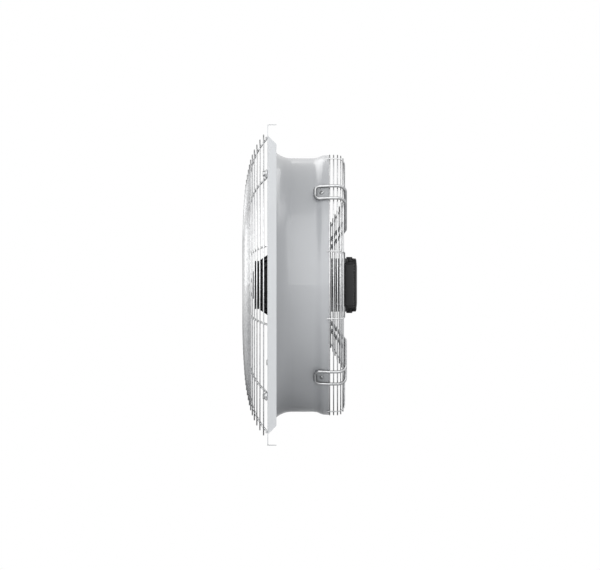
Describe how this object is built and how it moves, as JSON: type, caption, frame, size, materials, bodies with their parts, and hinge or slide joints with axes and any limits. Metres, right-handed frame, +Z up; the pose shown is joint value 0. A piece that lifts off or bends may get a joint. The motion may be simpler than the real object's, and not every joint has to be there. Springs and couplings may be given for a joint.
{
  "type": "plate-mounted axial exhaust fan",
  "caption": "Axial exhaust fan on a square wall plate with a flared nozzle, domed intake guard, outlet guard with hairpin motor arms, external-rotor motor and terminal box.",
  "frame": {"origin": "on the fan axis, in the front face of the wall plate", "axes": "+Y along the fan axis in the direction of the air, from the domed intake guard to the terminal box; +Z up; +X to the right for someone who looks along +Y"},
  "size_m": [0.655, 0.234, 0.655],
  "materials": {
    "plate_steel": "light grey powder coat",
    "duct_steel": "mid grey powder coat",
    "guard_wire": "bright zinc-plated wire",
    "basket_wire": "bright zinc-plated wire",
    "arm_wire": "zinc-plated thick wire",
    "saddle_plate": "grey coated plate",
    "carrier_steel": "dark grey coated steel plate",
    "zinc_fasteners": "zinc-plated",
    "stator_casting": "black painted casting",
    "rotor_casting": "black painted casting",
    "lamination_steel": "stacked sheet steel",
    "copper_winding": "varnished copper wire",
    "bearing_steel": "ground steel",
    "box_plastic": "black moulded plastic",
    "lid_plastic": "black moulded plastic",
    "plug_plastic": "black moulded plastic",
    "block_plastic": "pale moulded plastic",
    "cap_plastic": "grey moulded plastic",
    "blade_plastic": "black reinforced plastic",
    "gasket_rubber": "black rubber"
  },
  "bodies": {
    "frame": {"wall_plate": "plate_steel", "nozzle_duct": "duct_steel", "guard_rings_outer": "guard_wire", "guard_rings_inner": "guard_wire", "guard_spoke_wires": "guard_wire", "guard_centre_disc": "guard_wire", "guard_screws": "zinc_fasteners", "guard_screw_washers": "zinc_fasteners", "guard_screw_nuts": "zinc_fasteners", "earth_screw": "zinc_fasteners", "earth_nut": "zinc_fasteners", "basket_barrel_rings": "basket_wire", "basket_face_rings": "basket_wire", "basket_cone_rings": "basket_wire", "basket_wires": "basket_wire", "motor_arms": "arm_wire", "arm_saddles": "saddle_plate", "arm_screws": "zinc_fasteners", "arm_nuts": "zinc_fasteners", "carrier_plate": "carrier_steel", "carrier_screws": "zinc_fasteners", "stator_flange": "stator_casting", "stator_core": "lamination_steel", "stator_windings": "copper_winding", "front_bearing": "bearing_steel", "rear_bearing": "bearing_steel", "terminal_box": "box_plastic", "box_screws": "zinc_fasteners", "terminal_box_lid": "lid_plastic", "lid_gasket": "gasket_rubber", "lid_screws": "zinc_fasteners", "blanking_plugs": "plug_plastic", "terminal_block": "block_plastic"},
    "impeller": {"rotor_drum": "rotor_casting", "rotor_core": "lamination_steel", "rotor_shaft": "bearing_steel", "hub_cap": "cap_plastic", "hub_cap_screws": "zinc_fasteners", "impeller_blades": "blade_plastic"}
  },
  "joints": [
    {"name": "impeller_spin", "type": "hinge", "parent": "frame", "child": "impeller", "pos_m": [0, 0, 0], "axis": [0, 1, 0], "continuous": true}
  ]
}
